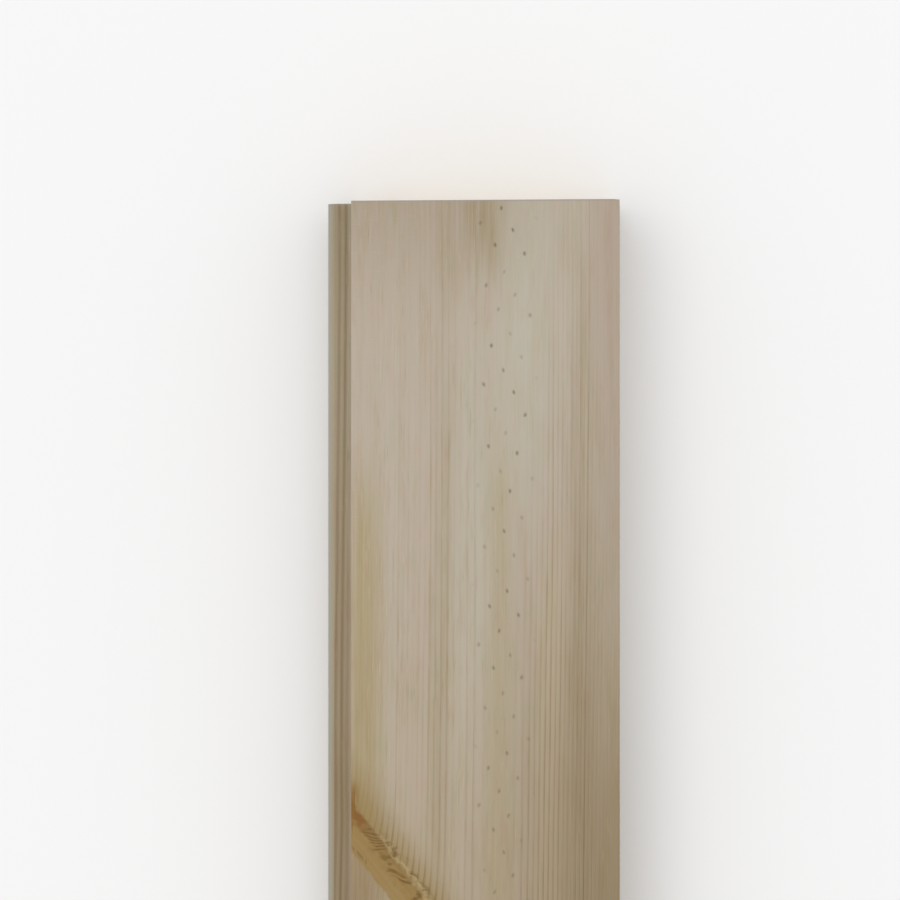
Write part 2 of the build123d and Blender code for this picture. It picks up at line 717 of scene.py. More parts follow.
@dataclass(frozen=True)
class PlanedPine:
    """The finish of the board: bare planed pine, sawn across at its ends."""

    stem: Stem = Stem()
    needles: NeedleTraces = NeedleTraces()
    fibre: Grain = Grain(0.45, 55.0, 2.0, 0.6)
    streak: Grain = Grain(2.2, 170.0, 3.0, 0.6)
    vein: Grain = Grain(1.1, 60.0, 2.0, 0.6)
    cloud: Grain = Grain(24.0, 330.0)
    tone: Grain = Grain(4.5, 36.0, 2.0, 0.6, 40.0)
    dash: Grain = Grain(0.55, 11.0, 1.0)
    hue: Grain = Grain(4.5, 18.0, 3.0, 0.65)
    chatter: Grain = Grain(9.0, 0.9, 1.0)
    specks_per_mm: float = 1.4

    # Heights above the underside
    near_face: Ramp = Ramp(24.0, 38.0)
    on_face: Ramp = Ramp(40.0, 44.0)
    rosy_up: Ramp = Ramp(20.0, 44.0)
    bevel_up: Ramp = Ramp(23.8, 25.2)
    upper_edge: Ramp = Ramp(20.0, 30.0)

    # Distances from the sawn end
    warm_along: Ramp = Ramp(50.0, 300.0)
    warm_beyond: Ramp = Ramp(1500.0, 500.0, 0.4)
    aged_along: Ramp = Ramp(90.0, 330.0)
    handled_along: Ramp = Ramp(62.0, -14.0)
    rings_along: Ramp = Ramp(-60.0, 230.0, 0.3)
    smooth_along: Ramp = Ramp(130.0, 50.0)
    # The grey line of painted shade and dirt along the sawn end's top edge
    sawn_edge_shade_and_dirt: Ramp = Ramp(1.1, 0.2)

    # Places across the board, and past its shoulder
    warm_across: Ramp = Ramp(-9.0, 59.0)
    handled_across: Ramp = Ramp(35.0, -10.0, 0.25)
    combed_across: Ramp = Ramp(-47.0, -35.0, 0.3)
    rings_across: Ramp = Ramp(-40.0, 30.0)
    rings_left: Ramp = Ramp(16.0, 6.0)
    rings_right: Ramp = Ramp(29.0, 43.0)
    smooth_across: Ramp = Ramp(-24.0, -34.0)
    canals_across: Ramp = Ramp(30.0, -20.0, 0.4)
    planer_marks: Ramp = Ramp(15.0, -25.0)
    past_shoulder: Ramp = Ramp(0.3, -2.6)

    # Distances from the pith
    rings_outward: Ramp = Ramp(12.0, 27.0, 0.15)
    rosy_outward: Ramp = Ramp(40.0, 54.0)
    end_rings: Ramp = Ramp(53.0, 36.0, 0.14)

    # The tear just under the face, at the lower end
    tear_slope: float = 0.075
    tear_height: float = 44.9
    tear_from: Ramp = Ramp(-30.0, -26.0)
    tear_to: Ramp = Ramp(-2.0, -8.0)
    tear_width: Ramp = Ramp(0.7, 0.15)
    lower_half: Ramp = Ramp(0.0, -1.0)

    # Marks along the grain
    stains: tuple[Stain, ...] = (
        Stain(23.4, 17, -20, 130, 60, Tint.GREENISH, 0.85, 0.2, -0.02),
        Stain(0.5, 13, 45, 235, 50, Tint.GREENISH, 0.5, 0.3),
        Stain(4.5, 11, -30, 27, 15, Tint.OLIVE, 0.9, 0.7),
        Stain(-8.0, 8, -30, 42, 22, Tint.OLIVE, 0.34, 0.9),
        Stain(-11.3, 6.5, 60, 700, 70, Tint.OLIVE_STREAK, 0.38, 0.6, -0.008),
        Stain(56.0, 9, -20, 160, 60, Tint.ROSE, 0.85, 0.2),
        Stain(45.0, 7.0, 35, 700, 45, Tint.TAN, 0.85, 0.6, -0.004),
        Stain(-44.5, 9.5, 118, 262, 26, Tint.YELLOW, 0.95, 0.5),
        Stain(-46.0, 15, 257, 430, 30, Tint.BROWN_SHADOW, 0.95, 0.4),
        Stain(11.0, 7, 105, 900, 40, Tint.YELLOW, 0.5, 0.4, -0.002),
        Stain(32.0, 8, 150, 600, 40, Tint.PALE_STRIP, 0.8, 0.3),
        Stain(-36.0, 15, -20, 4, 5, Tint.YELLOW_EDGE, 0.5, 0.5),
        Stain(-2.0, 10, 262, 420, 40, Tint.GREY_GREEN, 0.3, 0.6),
    )
    resin: tuple[Stain, ...] = (
        Stain(-48.8, 2.3, 240, 252, 4, Tint.RESIN_STREAK, 0.85, 0.1),
        Stain(-287.9, 1.1, 265, 269, 1.5, Tint.RESIN_LINE, 0.42, 0.0, 0.9),
    )
    quiet_strips: tuple[QuietStrip, ...] = (
        QuietStrip(37.5, 9, 0.5),
        QuietStrip(57.0, 11, 0.6),
        QuietStrip(-21.5, 8, 0.4),
        QuietStrip(4.0, 8, 0.5),
        QuietStrip(-5.0, 8, 0.5),
    )
    ring_drift: float = 0.06
    drift_stop: float = 320.0

    # The surface
    gloss: float = 0.3
    bump_depth: float = 0.12
    saw_pitch: float = 2.6
    saw_slope: float = 0.12
    knot_year: float = 2.3

    def spot(self, graph: Graph, board: "BoardSizes") -> Spot:
        """Reads a place on the board and what lies there.

        Args:
            graph: The tree that takes the nodes.
            board: The board's sizes.

        Returns:
            The place, its growth and its grain.
        """
        place = graph.field(graph.node("ShaderNodeTexCoord"), "Object") * (1 / MM)
        across, along, up = graph.parts(place)
        return Spot(
            graph=graph,
            place=place,
            across=across,
            along=along,
            up=up,
            from_end=board.half_length - along,
            end=graph.field(graph.node("ShaderNodeAttribute", {"attribute_name": END_FACES}), "Fac"),
            growth=self.stem.grow(graph, place),
            fibre=self.fibre.at(graph, place),
            streak=self.streak.at(graph, place),
            vein=self.vein.at(graph, place),
            cloud=self.cloud.at(graph, place),
            tone=self.tone.at(graph, place),
            dash=self.dash.at(graph, place),
            speck=graph.noise(place * self.specks_per_mm, 2.0, 0.6),
        )

    def material(self, board: "BoardSizes") -> bpy.types.Material:
        """Makes the board's material.

        Args:
            board: The board's sizes.

        Returns:
            The finished material.
        """
        made = bpy.data.materials.new("planed_pine")
        made.use_nodes = True
        made.node_tree.nodes.clear()
        graph = Graph(made.node_tree)
        spot = self.spot(graph, board)
        growth, end, speck = spot.growth, spot.end, spot.speck
        colour = self.ground(spot)
        colour = self.ringed(spot, colour)
        colour = self.mottled(spot, colour)
        colour = self.end_grain(spot, colour)
        colour = self.knotty(spot, colour)
        colour = self.stained(spot, self.resin, colour)
        needle = self.needles.mark(graph, growth, spot.from_end) * (1.0 - growth.knot)
        colour = graph.mix(needle * 0.7, colour, Tint.NEEDLE)
        colour = self.worked(spot, board, colour)

        rough = 0.62 - growth.latewood * 0.08 + end * 0.22 + spot.fibre * 0.06 - growth.knot * 0.12
        level = spot.up + spot.across * self.saw_slope + speck * 0.6
        kerf = graph.math("SINE", level * (2 * math.pi / self.saw_pitch))
        height = spot.fibre * 0.4 * (1.0 - end) + (kerf * 0.35 + speck * 0.8) * end
        relief = {"Strength": 0.5, "Distance": self.bump_depth * MM, "Height": height}
        bump = graph.node("ShaderNodeBump", {}, relief)
        surface = {
            "Base Color": colour,
            "Roughness": rough,
            "Specular IOR Level": self.gloss,
            "Normal": graph.field(bump),
        }
        shader = graph.node("ShaderNodeBsdfPrincipled", {}, surface)
        graph.node("ShaderNodeOutputMaterial", {}, {"Surface": graph.field(shader)})
        return made

    def ground(self, spot: Spot) -> Field:
        """The wood's colour under its rings: pinkish and greenish clouds, stains, and darker with age.

        Args:
            spot: The place on the board.

        Returns:
            The colour there.
        """
        graph, across, from_end = spot.graph, spot.across, spot.from_end
        colour = graph.mix(graph.fade(spot.cloud, -0.1, 0.6) * 0.7, Tint.PINKISH, Tint.GREENISH)
        colour = graph.mix(graph.fade(spot.cloud, -0.15, -0.7) * 0.6, colour, Tint.TAN)
        colour = self.stained(spot, self.stains, colour)
        warm = self.warm_along.at(graph, from_end) * self.warm_across.at(graph, across)
        warm = warm * self.warm_beyond.at(graph, from_end)
        colour = graph.mix(warm * 0.9, colour, Tint.BROWN)
        aged = self.aged_along.at(graph, from_end)
        colour = graph.mix(aged * 0.62, colour, Tint.AGED_CAST, "MULTIPLY")
        handled = self.handled_along.at(graph, from_end) * self.handled_across.at(graph, across)
        return graph.mix(handled, colour, Tint.HANDLED_CAST, "MULTIPLY")

    def ringed(self, spot: Spot, colour: Field) -> Field:
        """Draws the rings on the planed wood, crowded together above a knot.

        Args:
            spot: The place on the board.
            colour: The wood's colour so far.

        Returns:
            The colour with its rings.
        """
        graph, growth = spot.graph, spot.growth
        uneven = spot.streak * 0.6 + spot.vein * 0.7 + spot.tone * 0.6 + spot.dash * 0.5 + 0.95
        lines = growth.latewood * (self.ring_contrast(spot) * uneven)
        colour = graph.mix(lines, colour, Tint.LATEWOOD_CAST, "MULTIPLY")
        crowded = growth.knot_halo * growth.knot_halo * self.combed_across.at(graph, spot.across)
        combed = (growth.latewood * 1.6 + growth.ring_lines * 0.9) * crowded
        colour = graph.mix(combed, colour, Tint.COMBED_CAST, "MULTIPLY")
        return graph.mix(growth.dark_rings * 0.4, colour, Tint.DARK_RING_CAST, "MULTIPLY")

    def ring_contrast(self, spot: Spot) -> Field:
        """How strongly the rings show on the planed wood: least over the pith, and more away from the end.

        Args:
            spot: The place on the board.

        Returns:
            A share that is about 1 where they show best.
        """
        graph, across, from_end = spot.graph, spot.across, spot.from_end
        drift = graph.smaller(from_end, self.drift_stop) * self.ring_drift
        contrast = self.rings_along.at(graph, from_end)
        contrast = contrast * self.rings_outward.at(graph, spot.growth.radius + drift * 0.7)
        right = self.rings_right.at(graph, across + drift)
        past_pith = graph.larger(self.rings_left.at(graph, across), right)
        contrast = contrast * (past_pith * 0.7 + 0.3) * (self.rings_across.at(graph, across) * 0.7 + 0.4)
        smooth_end = self.smooth_across.at(graph, across) * self.smooth_along.at(graph, from_end)
        contrast = contrast * (1.0 - smooth_end * 0.6)
        on_face = self.on_face.at(graph, spot.up)
        for strip in self.quiet_strips:
            quiet = graph.band(across, strip.across, strip.half_width) * on_face
            contrast = contrast * (1.0 - quiet * strip.share)
        return contrast * (1.6 - on_face * 0.6)

    def mottled(self, spot: Spot, colour: Field) -> Field:
        """Lays the fine grain over the wood: fibres, resin canals, veins, shifts of hue and planer marks.

        Args:
            spot: The place on the board.
            colour: The wood's colour so far.

        Returns:
            The mottled colour.
        """
        graph, across = spot.graph, spot.across
        canals = graph.fade(spot.tone + spot.cloud * 0.8, -0.3, 0.5) * 0.42
        canals = canals * self.canals_across.at(graph, across)
        hue = self.hue.at(graph, spot.place)
        chatter = self.chatter.at(graph, spot.place)
        planed = self.planer_marks.at(graph, across + spot.from_end * 0.3) * 0.15
        washes = (
            (spot.fibre, 0.0, 0.7, 0.12, Tint.OLIVE, "MIX"),
            (spot.fibre, 0.0, -0.7, 0.10, Tint.PALE_FIBRE, "MIX"),
            (spot.dash, 0.15, 0.6, canals, Tint.BROWN, "MIX"),
            (spot.dash, -0.15, -0.6, canals, Tint.PALE_DASH, "MIX"),
            (spot.streak, 0.1, 0.8, 0.22, Tint.TAN, "MIX"),
            (spot.vein, 0.05, 0.7, 0.2, Tint.OLIVE_VEIN, "MIX"),
            (spot.vein, -0.05, -0.7, 0.16, Tint.ROSY_VEIN, "MIX"),
            (hue, 0.0, 0.6, 0.8, Tint.GREEN_CAST, "MULTIPLY"),
            (hue, 0.0, -0.6, 0.8, Tint.PINK_CAST, "MULTIPLY"),
            (spot.tone, -0.3, 0.7, 0.5, Tint.YELLOW_CAST, "MULTIPLY"),
            (chatter, 0.1, 0.9, planed, Tint.PALE_CHATTER, "MIX"),
        )
        for grain, start, stop, share, tint, blend in washes:
            colour = graph.mix(graph.fade(grain, start, stop) * share, colour, tint, blend)
        return colour

    def stained(self, spot: Spot, stains: Sequence[Stain], colour: Field) -> Field:
        """Lays stains on the wood near the face.

        Args:
            spot: The place on the board.
            stains: The stains, in the order they are laid.
            colour: The wood's colour so far.

        Returns:
            The stained colour.
        """
        graph, from_end, streak, fibre = spot.graph, spot.from_end, spot.streak, spot.fibre
        near_face = self.near_face.at(graph, spot.up)
        for stain in stains:
            middle = from_end * stain.lean + stain.across
            ragged = (streak * 3.0 + fibre * 2.0) * stain.streaks
            side = graph.band(spot.across + ragged, middle, stain.half_width * 1.25)
            begun = graph.fade(from_end, stain.start - stain.ease, stain.start + stain.ease)
            ragged_end = from_end + streak * 30.0
            span = begun * graph.fade(ragged_end, stain.stop + stain.ease, stain.stop - stain.ease)
            broken = graph.fade(streak + fibre * 0.8, -0.7, 0.6) * stain.streaks + (1.0 - stain.streaks)
            colour = graph.mix(side * span * broken * near_face * stain.strength, colour, stain.tint)
        return colour

    def end_grain(self, spot: Spot, colour: Field) -> Field:
        """Colours the sawn ends, where the rings are cut across, with a tear under the lower end's face.

        Args:
            spot: The place on the board.
            colour: The colour of the planed wood.

        Returns:
            The colour with the ends coloured.
        """
        graph, growth, across, up = spot.graph, spot.growth, spot.across, spot.up
        # Painted light: the end grain's colour is lifted to make up for the weaker light on the upright
        # ends
        sawn = graph.mix(graph.fade(spot.cloud, 0.0, 0.6) * 0.8, Tint.END_GRAIN_PAINTED_LIGHTER, Tint.END_ROSE)
        corners = self.rosy_up.at(graph, up) * self.rosy_outward.at(graph, growth.radius)
        sawn = graph.mix(corners * 0.75, sawn, Tint.ROSE)
        clear = self.end_rings.at(graph, growth.radius + spot.cloud * 8.0)
        lines = (growth.ring_lines * 0.55 + growth.latewood * 0.45) * clear
        sawn = graph.mix(lines, sawn, Tint.END_RING_CAST, "MULTIPLY")
        sawn = graph.mix(growth.dark_rings * 0.85, sawn, Tint.DARK_RING_CAST, "MULTIPLY")
        sawn = graph.mix(graph.fade(spot.speck, 0.0, 0.8) * 0.2, sawn, Tint.TAN)
        tear = abs(up - (across * self.tear_slope + self.tear_height) + spot.speck * 0.5)
        torn = self.tear_from.at(graph, across) * self.tear_to.at(graph, across)
        torn = torn * self.tear_width.at(graph, tear) * self.lower_half.at(graph, spot.along)
        sawn = graph.mix(torn * 0.6, sawn, Tint.TEAR)
        return graph.mix(spot.end, colour, sawn)

    def knotty(self, spot: Spot, colour: Field) -> Field:
        """Colours the knots and the resin round them.

        Args:
            spot: The place on the board.
            colour: The colour of the clear wood.

        Returns:
            The colour with its knots.
        """
        graph, growth = spot.graph, spot.growth
        colour = graph.mix(growth.knot_halo * 0.76, colour, Tint.RESIN)
        turns = growth.knot_years * (2 * math.pi / self.knot_year) + spot.fibre * 4.0
        years = graph.fade(graph.math("SINE", turns), -0.6, 1.0)
        core = graph.mix(years * 0.25, Tint.KNOT_CORE, Tint.KNOT_YEARS)
        colour = graph.mix(growth.knot * 0.9, colour, core)
        colour = graph.mix(growth.knot_rim * 0.4, colour, Tint.KNOT_DARK)
        colour = graph.mix(growth.knot_ribs * 0.9, colour, Tint.TORN_CAST, "MULTIPLY")
        colour = graph.mix(growth.knot_seam * 0.45, colour, Tint.KNOT_SEAM)
        return graph.mix(growth.knot_heart * 0.85, colour, Tint.KNOT_DARK)

    def worked(self, spot: Spot, board: "BoardSizes", colour: Field) -> Field:
        """Colours what the cutters and the saw left: the tongue, darkened partly as painted shade of its
        recess below the face, its bevel, and the edge of the sawn end, greyed by painted shade and some
        dirt.

        Args:
            spot: The place on the board.
            board: The board's sizes.
            colour: The wood's colour so far.

        Returns:
            The finished colour.
        """
        graph, across, up = spot.graph, spot.across, spot.up
        walls = 1.0 - spot.end
        # Painted shade: past the shoulder the tongue is darkened, partly for its darker machined wood and
        # partly as painted shade of its recess below the face
        moulded_and_shaded = self.past_shoulder.at(graph, across - board.shoulder) * walls
        colour = graph.mix(moulded_and_shaded * 0.9, colour, Tint.MOULDED_AND_SHADE_CAST, "MULTIPLY")
        bevel = graph.fade(across + board.half_width, board.bevel_run, board.bevel_round) * walls
        bevel = bevel * self.bevel_up.at(graph, up)
        colour = graph.mix(bevel * 0.7, colour, Tint.BEVEL)
        # Painted shade: a grey line along the top edge of the sawn end stands for the shade of its arris,
        # with some dirt where the edge is broken
        fallen = board.out_of_square * (board.half_width - across) / (2 * board.half_width)
        broken = self.sawn_edge_shade_and_dirt.at(graph, spot.from_end - fallen) * self.upper_edge.at(graph, up) * walls
        return graph.mix(broken * 0.7, colour, Tint.SAWN_EDGE_SHADE_AND_DIRT)


@dataclass(frozen=True)
class Corner:
    """A corner of the moulded section: its place, its easing and the mesh's step along the run after it."""

    across: float
    up: float
    radius: float
    step: float

    @property
    def point(self) -> np.ndarray:
        """The corner's place as an array."""
        return np.array([self.across, self.up])


@dataclass(frozen=True)
class BoardSizes:
    """The board's sizes. The overall ones come from the frame, and the moulding repeats the board's own."""

    half_width: float
    half_length: float
    thickness: float
    tongue_length: float = 10.0
    tongue_thickness: float = 13.0
    tongue_below_face: float = 18.25
    bevel_run: float = 2.6
    bevel_drop: float = 2.0
    bevel_round: float = 0.8
    nose_radius: float = 1.0
    cheek_clearance: float = 0.25
    tip_clearance: float = 2.0
    shoulder_setback: float = 0.75
    lip_setback: float = 1.0
    face_arris: float = 0.8
    back_arris: float = 1.2
    lip_arris: float = 0.5
    groove_root: float = 0.8
    out_of_square: float = 0.8
    face_step: float = 0.62
    back_step: float = 1.25
    edge_step: float = 1.5
    arc_steps: int = 4

    @classmethod
    def from_frame(cls) -> "BoardSizes":
        """Reads the overall sizes off the frame."""
        low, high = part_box(BOARD_NODE)
        return cls(half_width=high[0] / MM, half_length=high[1] / MM, thickness=high[2] / MM)

    @property
    def shoulder(self) -> float:
        """Where the face ends on the tongue's side."""
        return self.tongue_length - self.half_width

    def corners(self) -> list[Corner]:
        """The section's corners.

        Returns:
            The corners, anticlockwise as seen from the board's lower end.
        """
        tip = -self.half_width
        lower_shoulder = self.shoulder + self.shoulder_setback
        lower_lip = self.half_width - self.lip_setback
        root = self.half_width - self.tongue_length - self.tip_clearance
        tongue_top = self.thickness - self.tongue_below_face
        tongue_foot = tongue_top - self.tongue_thickness
        groove_top = tongue_top + self.cheek_clearance
        groove_foot = tongue_foot - self.cheek_clearance
        edge = self.edge_step
        return [
            Corner(lower_shoulder, 0.0, self.back_arris, self.back_step),
            Corner(lower_lip, 0.0, self.back_arris, edge),
            Corner(lower_lip, groove_foot, self.lip_arris, edge),
            Corner(root, groove_foot, self.groove_root, edge),
            Corner(root, groove_top, self.groove_root, edge),
            Corner(self.half_width, groove_top, self.lip_arris, edge),
            Corner(self.half_width, self.thickness, self.face_arris, self.face_step),
            Corner(self.shoulder, self.thickness, self.face_arris, edge),
            Corner(self.shoulder, tongue_top, 0.0, edge),
            Corner(tip + self.bevel_run, tongue_top, self.bevel_round, edge),
            Corner(tip, tongue_top - self.bevel_drop, self.bevel_round, edge),
            Corner(tip, tongue_foot, self.nose_radius, edge),
            Corner(lower_shoulder, tongue_foot, 0.0, edge),
        ]

    def arc(self, before: Corner, corner: Corner, after: Corner) -> np.ndarray:
        """The points of one eased corner.

        Args:
            before: The corner ahead of it.
            corner: The corner itself.
            after: The corner that follows.

        Returns:
            Its points in order, or the corner alone where it is sharp.
        """
        if corner.radius <= 0:
            return corner.point[None, :]
        inward = before.point - corner.point
        outward = after.point - corner.point
        inward = inward / np.linalg.norm(inward)
        outward = outward / np.linalg.norm(outward)
        half = math.acos(float(np.clip(inward @ outward, -1, 1))) / 2
        middle = inward + outward
        middle = middle / np.linalg.norm(middle)
        centre = corner.point + middle * corner.radius / math.sin(half)
        first = corner.point + inward * corner.radius / math.tan(half) - centre
        last = corner.point + outward * corner.radius / math.tan(half) - centre
        turn = math.atan2(first[0] * last[1] - first[1] * last[0], float(first @ last))
        shares = np.linspace(0, turn, self.arc_steps + 1)
        spun = [np.array([[math.cos(a), -math.sin(a)], [math.sin(a), math.cos(a)]]) @ first for a in shares]
        return centre + np.array(spun)

    def outline(self) -> tuple[np.ndarray, np.ndarray]:
        """The section as a closed ring of points.

        Returns:
            The points across and up, and for each point whether it lies on an eased edge.
        """
        corners = self.corners()
        count = len(corners)
        arcs = [self.arc(corners[i - 1], corners[i], corners[(i + 1) % count]) for i in range(count)]
        points: list[np.ndarray] = []
        eased: list[float] = []
        for i, corner in enumerate(corners):
            start, stop = arcs[i][-1], arcs[(i + 1) % count][0]
            points.extend(arcs[i])
            eased.extend([1.0 if corner.radius > 0 else 0.0] * len(arcs[i]))
            steps = max(1, round(float(np.linalg.norm(stop - start)) / corner.step))
            between = [start + (stop - start) * step / steps for step in range(1, steps)]
            points.extend(between)
            eased.extend([0.0] * len(between))
        return np.array(points), np.array(eased)


@dataclass
class Floorboard:
    """The board as a mesh: its section run along its length, with sawn ends and the wood's fine relief."""

    sizes: BoardSizes
    finish: PlanedPine
    rows: int = 212
    fine_rows: int = 3601
    knot_crowding: float = 1.6
    knot_rise: float = 40.0
    knot_reach: float = 50.0
    end_crowding: float = 12.0
    end_reach: float = 4.0
    end_step: float = 1.5
    end_clear: float = 0.55
    end_share: float = 0.1
    end_margin_up: float = 0.06
    end_margin_across: float = 0.02
    ring_relief: float = 0.05
    knot_relief: float = 0.16
    knock_depth: float = 0.45
    saw_depth: float = 0.14
    saw_pitch: float = 5.2
    saw_slope: float = 0.12
    chip: Ramp = Ramp(2.6, 0.4)
    chip_share: float = 1.6
    sharp_angle: float = 38.0
    dents: Grain = Grain(9.0, 14.0, 3.0, 0.65)

    def row_places(self) -> np.ndarray:
        """Places of the mesh's rows along the board.

        Returns:
            The places in order, closer at the ends and round the knots.
        """
        half = self.sizes.half_length
        fine = np.linspace(-half, half, self.fine_rows)
        density = np.ones_like(fine)
        for branch in self.finish.stem.branches:
            off = (fine - branch.height - self.knot_rise) / self.knot_reach
            density += self.knot_crowding * np.exp(-(off ** 2))
        density += self.end_crowding * np.exp(-(half - np.abs(fine)) / self.end_reach)
        reached = np.concatenate([[0.0], np.cumsum((density[1:] + density[:-1]) / 2)])
        return np.interp(np.linspace(0, reached[-1], self.rows), reached, fine)

    def inner_points(self, ring: np.ndarray) -> np.ndarray:
        """A triangular grid of points inside the section.

        Args:
            ring: The section's outline.

        Returns:
            The points that lie clear of the outline.
        """
        step = self.end_step
        low, high = ring.min(0), ring.max(0)
        ups = np.arange(low[1] + step / 2, high[1], step * math.sqrt(3) / 2)
        grid = [
            (across, up)
            for row, up in enumerate(ups)
            for across in np.arange(low[0] + step / 2 * (1 + row % 2), high[0], step)
        ]
        spots = np.array(grid)
        after = np.roll(ring, -1, axis=0)
        crosses = (ring[:, 1] > spots[:, None, 1]) != (after[:, 1] > spots[:, None, 1])
        rise = np.where(after[:, 1] == ring[:, 1], 1.0, after[:, 1] - ring[:, 1])
        meets = ring[:, 0] + (spots[:, None, 1] - ring[:, 1]) * (after[:, 0] - ring[:, 0]) / rise
        inside = (crosses & (spots[:, None, 0] < meets)).sum(1) % 2 == 1
        clear = np.linalg.norm(spots[:, None] - ring[None], axis=2).min(1) > step * self.end_clear
        return spots[inside & clear]

    def end_triangles(self, ring: np.ndarray, inner: np.ndarray) -> list[tuple[int, int, int]]:
        """Joins the outline and the points inside it.

        Args:
            ring: The section's outline.
            inner: The points inside it.

        Returns:
            Triangles as numbers of points, the outline's first, anticlockwise.
        """
        places = [Vector(point) for point in np.vstack([ring, inner])]
        edges = [(i, (i + 1) % len(ring)) for i in range(len(ring))]
        made = delaunay_2d_cdt(places, edges, [], KEEP_INSIDE, SAME_POINT)
        faces, sources = made[2], made[3]
        return [tuple(sources[corner][0] for corner in face) for face in faces]

    def cage(self) -> bpy.types.Mesh:
        """Builds the plain board.

        Returns:
            A closed mesh with its bake map and its marks for ends and edges.
        """
        ring, eased = self.sizes.outline()
        inner = self.inner_points(ring)
        triangles = self.end_triangles(ring, inner)
        places = self.row_places()
        columns, rows = len(ring), len(places)
        half = self.sizes.half_length

        def sheared(points: np.ndarray, along: float) -> np.ndarray:
            """Sets a section at its place along the board, falling back near the end out of square."""
            fall = self.sizes.out_of_square * (self.sizes.half_width - points[:, 0])
            fall = fall / (2 * self.sizes.half_width) * np.clip(along / half, 0, 1) ** 4
            return np.stack([points[:, 0], along - fall, points[:, 1]], axis=1)

        walls = [sheared(ring, along) for along in places]
        caps = [sheared(inner, -half), sheared(inner, half)]
        points = np.vstack(walls + caps) * MM
        faces: list[tuple[int, ...]] = []
        unwrap: list[tuple[float, float]] = []
        wall_share = 1.0 - self.end_share
        for row in range(rows - 1):
            for column in range(columns):
                following = (column + 1) % columns
                low, high = row * columns, (row + 1) * columns
                faces.append((low + column, high + column, high + following, low + following))
                left, right = column / columns * wall_share, (column + 1) / columns * wall_share
                foot, head = row / (rows - 1), (row + 1) / (rows - 1)
                unwrap.extend([(left, foot), (left, head), (right, head), (right, foot)])
        wall_count = len(faces)
        flat = np.vstack([ring, inner])
        spread = (flat - flat.min(0)) / np.ptp(flat, axis=0)
        for cap, first_row in enumerate((0, (rows - 1) * columns)):
            first_inner = rows * columns + cap * len(inner)
            for triangle in triangles:
                turned = triangle if cap == 0 else triangle[::-1]
                faces.append(
                    tuple(
                        first_row + corner if corner < columns else first_inner + corner - columns
                        for corner in turned
                    )
                )
                for corner in turned:
                    over = self.end_margin_up + (1 - 2 * self.end_margin_up) * spread[corner, 1]
                    head = self.end_margin_across + (1 - 2 * self.end_margin_across) * spread[corner, 0]
                    unwrap.append((wall_share + self.end_share * over, (cap + head) / 2))
        mesh = bpy.data.meshes.new("planed_board")
        mesh.from_pydata(points.tolist(), [], faces)
        mesh.uv_layers.new(name=BAKE_MAP).uv.foreach_set("vector", np.array(unwrap, np.float32).ravel())
        ends = np.zeros(len(faces), np.float32)
        ends[wall_count:] = 1.0
        self.note(mesh, END_FACES, "FACE", ends)
        end_points = np.zeros(len(points), np.float32)
        end_points[rows * columns:] = 1.0
        self.note(mesh, END_POINTS, "POINT", end_points)
        edge_points = np.zeros(len(points), np.float32)
        edge_points[: rows * columns] = np.tile(eased, rows)
        self.note(mesh, EDGE_POINTS, "POINT", edge_points)
        return mesh

    @staticmethod
    def note(mesh: bpy.types.Mesh, name: str, domain: str, values: np.ndarray) -> None:
        """Writes a number on each point or face of a mesh."""
        mesh.attributes.new(name, "FLOAT", domain).data.foreach_set("value", values)

    def depths(self) -> dict[str, float]:
        """The relief's depths in millimetres, by the name of the input that takes each."""
        return {
            "Ring relief": self.ring_relief,
            "Knot relief": self.knot_relief,
            "Knock depth": self.knock_depth,
            "Saw depth": self.saw_depth,
        }

    def relief_tree(self, material: bpy.types.Material) -> bpy.types.NodeTree:
        """Writes the geometry nodes that give the plain board its relief.

        Args:
            material: The board's finish.

        Returns:
            The tree, with its depths as named inputs.
        """
        tree = bpy.data.node_groups.new("planed_relief", "GeometryNodeTree")
        tree.interface.new_socket("Board", in_out="INPUT", socket_type="NodeSocketGeometry")
        depths = self.depths()
        for name in depths:
            tree.interface.new_socket(name, in_out="INPUT", socket_type="NodeSocketFloat")
        tree.interface.new_socket("Board", in_out="OUTPUT", socket_type="NodeSocketGeometry")
        graph = Graph(tree)
        given = graph.node("NodeGroupInput")
        ring_relief, knot_relief, knock_depth, saw_depth = (graph.field(given, name) for name in depths)
        place = graph.field(graph.node("GeometryNodeInputPosition")) * (1 / MM)
        across, along, up = graph.parts(place)
        growth = self.finish.stem.grow(graph, place)
        ends = self.noted(graph, END_POINTS)
        edges = self.noted(graph, EDGE_POINTS)
        dents = self.dents.at(graph, place)
        knocks = graph.fade(dents, 0.32, 0.85) * edges * knock_depth
        corner = (self.sizes.half_width, self.sizes.half_length, self.sizes.thickness)
        chipped = graph.length(place - fixed(graph, corner)) + dents * 1.2
        knocks = knocks + self.chip.at(graph, chipped) * knock_depth * self.chip_share
        hollow = (1.0 - growth.latewood) * ring_relief + growth.knot_rim * knot_relief + knocks
        kerf = graph.math("SINE", (up + across * self.saw_slope) * (2 * math.pi / self.saw_pitch))
        tear = graph.noise(graph.vector(across / 4.0, along, up / 7.0), 3.0, 0.7)
        cut = (kerf * 0.25 + 0.25 + graph.fade(tear, 0.0, 0.9)) * saw_depth
        normal = graph.field(graph.node("GeometryNodeInputNormal"))
        inward = normal * ((hollow * (1.0 - ends) + cut * ends) * -MM)
        moved = graph.node(
            "GeometryNodeSetPosition", {}, {"Geometry": graph.field(given, "Board"), "Offset": inward}
        )
        plain = graph.node("GeometryNodeRealizeInstances", {}, {0: graph.field(moved)})
        dressed = graph.node(
            "GeometryNodeSetMaterial", {}, {"Geometry": graph.field(plain), "Material": material}
        )
        graph.node("NodeGroupOutput", {}, {0: graph.field(dressed)})
        return tree

    @staticmethod
    def noted(graph: Graph, name: str) -> Field:
        """Reads a number that was written on the mesh."""
        made = graph.node("GeometryNodeInputNamedAttribute", {"data_type": "FLOAT"}, {"Name": name})
        return graph.field(made, "Attribute")

